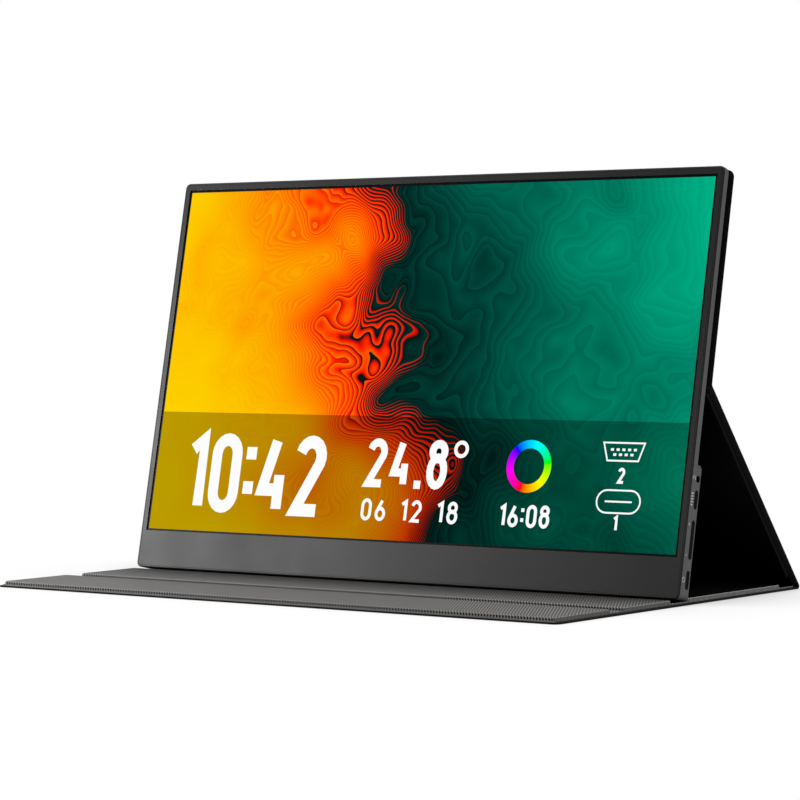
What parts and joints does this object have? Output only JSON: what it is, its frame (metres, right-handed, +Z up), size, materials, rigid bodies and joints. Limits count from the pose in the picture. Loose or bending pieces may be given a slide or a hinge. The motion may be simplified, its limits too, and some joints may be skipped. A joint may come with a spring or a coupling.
{
  "type": "portable monitor",
  "caption": "Thin portable monitor that stands in the groove of a folding cover, held at the back by the cover's upper panel and its slanting leg.",
  "frame": {"origin": "on the table, under the middle of the footprint of the opened cover", "axes": "+X to the viewer's right along the screen's width, +Y away from the viewer, +Z up"},
  "size_m": [0.356, 0.2327, 0.219],
  "materials": {
    "casing": "fine matte texture, dark grey",
    "bezel": "fine matte texture, near black grey",
    "screen": "front glass that shows the image",
    "inner_glass": "clear",
    "film": "white film",
    "guide": "clear acrylic",
    "lights": "white lights on a strip",
    "tray": "thin pressed sheet",
    "tape": "black foam tape",
    "steel": "plain steel",
    "circuit": "green circuit board",
    "chip": "black moulded package",
    "plating": "plated contact shell",
    "ribbon": "amber flat cable",
    "black_plastic": "black moulded plastic",
    "keys": "black moulded keys",
    "light_pipe": "clear rod",
    "magnet": "nickel-plated magnet",
    "skin": "black grained artificial leather",
    "stiffener": "stiff fibre board",
    "lining": "grey twill cloth"
  },
  "bodies": {
    "base": {"base_skin": "skin", "base_stiffener": "stiffener", "base_lining": "lining"},
    "leg": {"leg_skin": "skin", "leg_stiffener": "stiffener", "leg_lining": "lining"},
    "front_flap": {"flap_skin": "skin", "flap_stiffener": "stiffener", "flap_lining": "lining"},
    "front_lip": {"lip_skin": "skin", "lip_stiffener": "stiffener", "lip_lining": "lining", "lip_magnets": "magnet"},
    "menu_button": {"menu_key": "keys"},
    "power_button": {"power_key": "keys"},
    "volume_rocker": {"rocker_key": "keys"},
    "display": {"rear_shell": "casing", "front_bezel": "bezel", "screen_glass": "screen", "thin_film_glass": "inner_glass", "diffuser_film": "film", "light_guide": "guide", "reflector_film": "film", "backlight_strip": "lights", "panel_tray": "tray", "mounting_tape": "tape", "catch_plates": "steel", "timing_board": "circuit", "timing_chips": "chip", "panel_ribbon": "ribbon", "main_board": "circuit", "side_board": "circuit", "video_chip": "chip", "shield_can": "steel", "power_coils": "chip", "usb_sockets": "plating", "usb_tongues": "black_plastic", "video_socket": "plating", "video_socket_tongue": "black_plastic", "headphone_jack": "black_plastic", "key_switches": "black_plastic", "light_pipe": "light_pipe", "status_light": "lights", "link_ribbon": "ribbon", "left_speaker": "black_plastic", "right_speaker": "black_plastic", "speaker_cones": "black_plastic", "board_screws": "steel", "back_panel_skin": "skin", "back_panel_stiffener": "stiffener", "back_panel_lining": "lining", "back_panel_magnets": "magnet"}
  },
  "joints": [
    {"name": "rear_fold", "type": "hinge", "parent": "base", "child": "leg", "pos_m": [0, 0.1156, 0.00075], "axis": [-1, 0, 0], "range_deg": [0, 126.72]},
    {"name": "back_fold", "type": "hinge", "parent": "leg", "child": "display", "pos_m": [0, 0.02447, 0.10853], "axis": [-1, 0, 0], "range_deg": [-44.98, 0]},
    {"name": "front_fold", "type": "hinge", "parent": "base", "child": "front_flap", "pos_m": [0, -0.0075, 0.00075], "axis": [-1, 0, 0], "range_deg": [0, 90]},
    {"name": "lip_fold", "type": "hinge", "parent": "front_flap", "child": "front_lip", "pos_m": [0, -0.05915, 0.00075], "axis": [-1, 0, 0], "range_deg": [0, 130]},
    {"name": "menu_press", "type": "slide", "parent": "display", "child": "menu_button", "axis": [-1, 0, 0], "range_m": [0, 0.0004], "stiffness_N_per_m": 1000},
    {"name": "power_press", "type": "slide", "parent": "display", "child": "power_button", "axis": [-1, 0, 0], "range_m": [0, 0.0004], "stiffness_N_per_m": 1000},
    {"name": "rocker_tilt", "type": "hinge", "parent": "display", "child": "volume_rocker", "pos_m": [0.17498, 0.00727, 0.03203], "axis": [0, -0.979, 0.2038], "range_deg": [-2, 2], "stiffness_Nm_per_rad": 0.2}
  ],
  "couplings": [
    {"joint": "back_fold", "follows": "rear_fold", "ratio": -0.35493}
  ]
}
